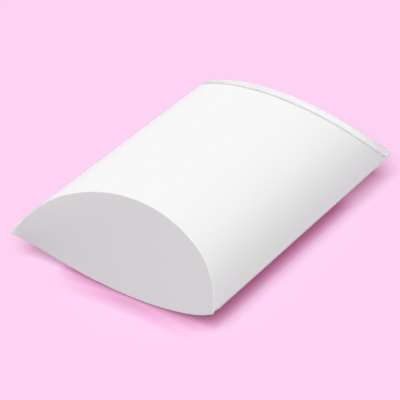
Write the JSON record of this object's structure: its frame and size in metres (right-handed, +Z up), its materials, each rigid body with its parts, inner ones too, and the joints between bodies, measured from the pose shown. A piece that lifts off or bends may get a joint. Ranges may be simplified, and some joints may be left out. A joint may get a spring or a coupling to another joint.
{
  "type": "pillow box",
  "caption": "Pillow-shaped paperboard carton: bowed panels glued along one side, with curved flaps that fold in to close the ends.",
  "frame": {"origin": "on the surface that the box rests on, below the middle of the box", "axes": "+X across the box, +Y along it to the far end, +Z up"},
  "size_m": [0.09, 0.126, 0.044],
  "materials": {
    "board": "matte",
    "glue": "satin"
  },
  "bodies": {
    "sleeve": {"top_panel": "board", "bottom_panel": "board", "glue_flap": "board", "glue_line": "glue"},
    "near_outer": {"near_outer_flap": "board"},
    "near_inner": {"near_inner_flap": "board"},
    "far_outer": {"far_outer_flap": "board"},
    "far_inner": {"far_inner_flap": "board"}
  },
  "joints": [
    {"name": "near_outer_fold", "type": "hinge", "parent": "sleeve", "child": "near_outer", "pos_m": [0, -0.04655, 0.044], "axis": [-1, 0, 0], "range_deg": [0, 85]},
    {"name": "near_inner_fold", "type": "hinge", "parent": "sleeve", "child": "near_inner", "pos_m": [0, -0.04295, 0], "axis": [1, 0, 0], "range_deg": [0, 85]},
    {"name": "far_outer_fold", "type": "hinge", "parent": "sleeve", "child": "far_outer", "pos_m": [0, 0.04655, 0], "axis": [-1, 0, 0], "range_deg": [0, 85]},
    {"name": "far_inner_fold", "type": "hinge", "parent": "sleeve", "child": "far_inner", "pos_m": [0, 0.04295, 0.044], "axis": [1, 0, 0], "range_deg": [0, 85]}
  ],
  "couplings": [
    {"joint": "near_inner_fold", "follows": "near_outer_fold", "ratio": 1},
    {"joint": "far_inner_fold", "follows": "far_outer_fold", "ratio": 1}
  ]
}
